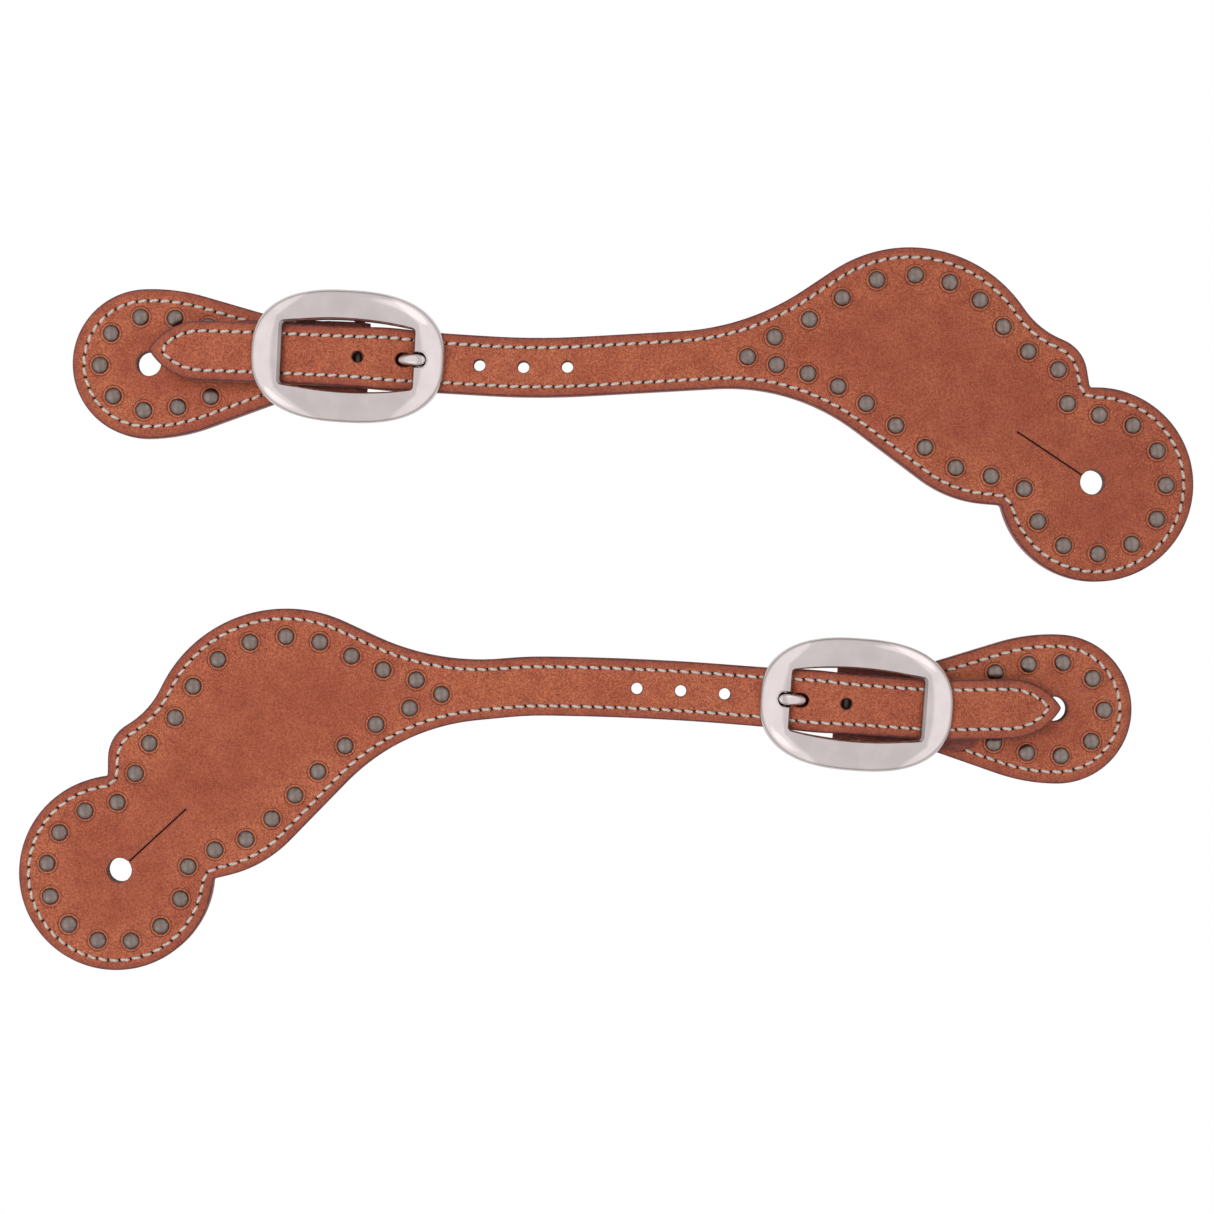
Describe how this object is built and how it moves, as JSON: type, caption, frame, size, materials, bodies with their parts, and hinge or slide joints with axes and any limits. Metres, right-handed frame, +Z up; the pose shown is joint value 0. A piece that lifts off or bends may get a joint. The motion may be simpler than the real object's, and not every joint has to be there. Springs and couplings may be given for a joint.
{
  "type": "pair of western spur straps",
  "caption": "Pair of buckled leather spur straps with a wide studded flare, slit button holes and a tab on an oval cart buckle, for holding a spur on a riding boot.",
  "frame": {"origin": "centre of the overall box on the table plane, between the two straps", "axes": "+X along the straps towards the right strap's flare, +Y from the left strap to the right strap, +Z up from the table"},
  "size_m": [0.3792, 0.2334, 0.0146],
  "materials": {
    "leather_outer": "oiled russet harness leather with dark burnished edges",
    "leather_lining": "plain russet lining leather",
    "thread": "waxed cream lockstitch thread",
    "stud_metal": "antique nickel",
    "buckle_steel": "polished stainless steel with a fine satin",
    "rivet_copper": "dull copper"
  },
  "bodies": {
    "right_billet": {"right_billet_outer": "leather_outer", "right_billet_lining": "leather_lining", "right_billet_seam": "thread", "right_buckle_frame": "buckle_steel"},
    "right_flare": {"right_flare_outer": "leather_outer", "right_flare_lining": "leather_lining", "right_flare_seam": "thread", "right_flare_studs": "stud_metal"},
    "right_tab": {"right_tab_outer": "leather_outer", "right_tab_lining": "leather_lining", "right_tab_seam": "thread", "right_tab_studs": "stud_metal", "right_chape_rivets": "rivet_copper"},
    "right_tongue": {"right_buckle_tongue": "buckle_steel"},
    "left_billet": {"left_billet_outer": "leather_outer", "left_billet_lining": "leather_lining", "left_billet_seam": "thread", "left_buckle_frame": "buckle_steel"},
    "left_flare": {"left_flare_outer": "leather_outer", "left_flare_lining": "leather_lining", "left_flare_seam": "thread", "left_flare_studs": "stud_metal"},
    "left_tab": {"left_tab_outer": "leather_outer", "left_tab_lining": "leather_lining", "left_tab_seam": "thread", "left_tab_studs": "stud_metal", "left_chape_rivets": "rivet_copper"},
    "left_tongue": {"left_buckle_tongue": "buckle_steel"}
  },
  "joints": [
    {"name": "right_neck_flex", "type": "hinge", "parent": "right_billet", "child": "right_flare", "pos_m": [0.01427, 0.07952, 0.0022], "axis": [0.0558, -0.9984, 0], "range_deg": [-50, 30]},
    {"name": "right_tab_swing", "type": "hinge", "parent": "right_billet", "child": "right_tab", "pos_m": [-0.08013, 0.08047, 0.0037], "axis": [-0.0489, -0.9988, 0], "range_deg": [0, 60]},
    {"name": "right_tongue_play", "type": "hinge", "parent": "right_billet", "child": "right_tongue", "pos_m": [-0.08013, 0.08047, 0.0037], "axis": [-0.0489, -0.9988, 0], "range_deg": [0, 3]},
    {"name": "left_neck_flex", "type": "hinge", "parent": "left_billet", "child": "left_flare", "pos_m": [-0.01685, -0.02505, 0.0022], "axis": [0.0139, 0.9999, 0], "range_deg": [-50, 30]},
    {"name": "left_tab_swing", "type": "hinge", "parent": "left_billet", "child": "left_tab", "pos_m": [0.07748, -0.03043, 0.0037], "axis": [0.0732, 0.9973, 0], "range_deg": [0, 60]},
    {"name": "left_tongue_play", "type": "hinge", "parent": "left_billet", "child": "left_tongue", "pos_m": [0.07748, -0.03043, 0.0037], "axis": [0.0732, 0.9973, 0], "range_deg": [0, 3]},
    {"name": "left_strap_apart", "type": "slide", "parent": "right_billet", "child": "left_billet", "axis": [0, -1, 0], "range_m": [0, 0.06]}
  ]
}
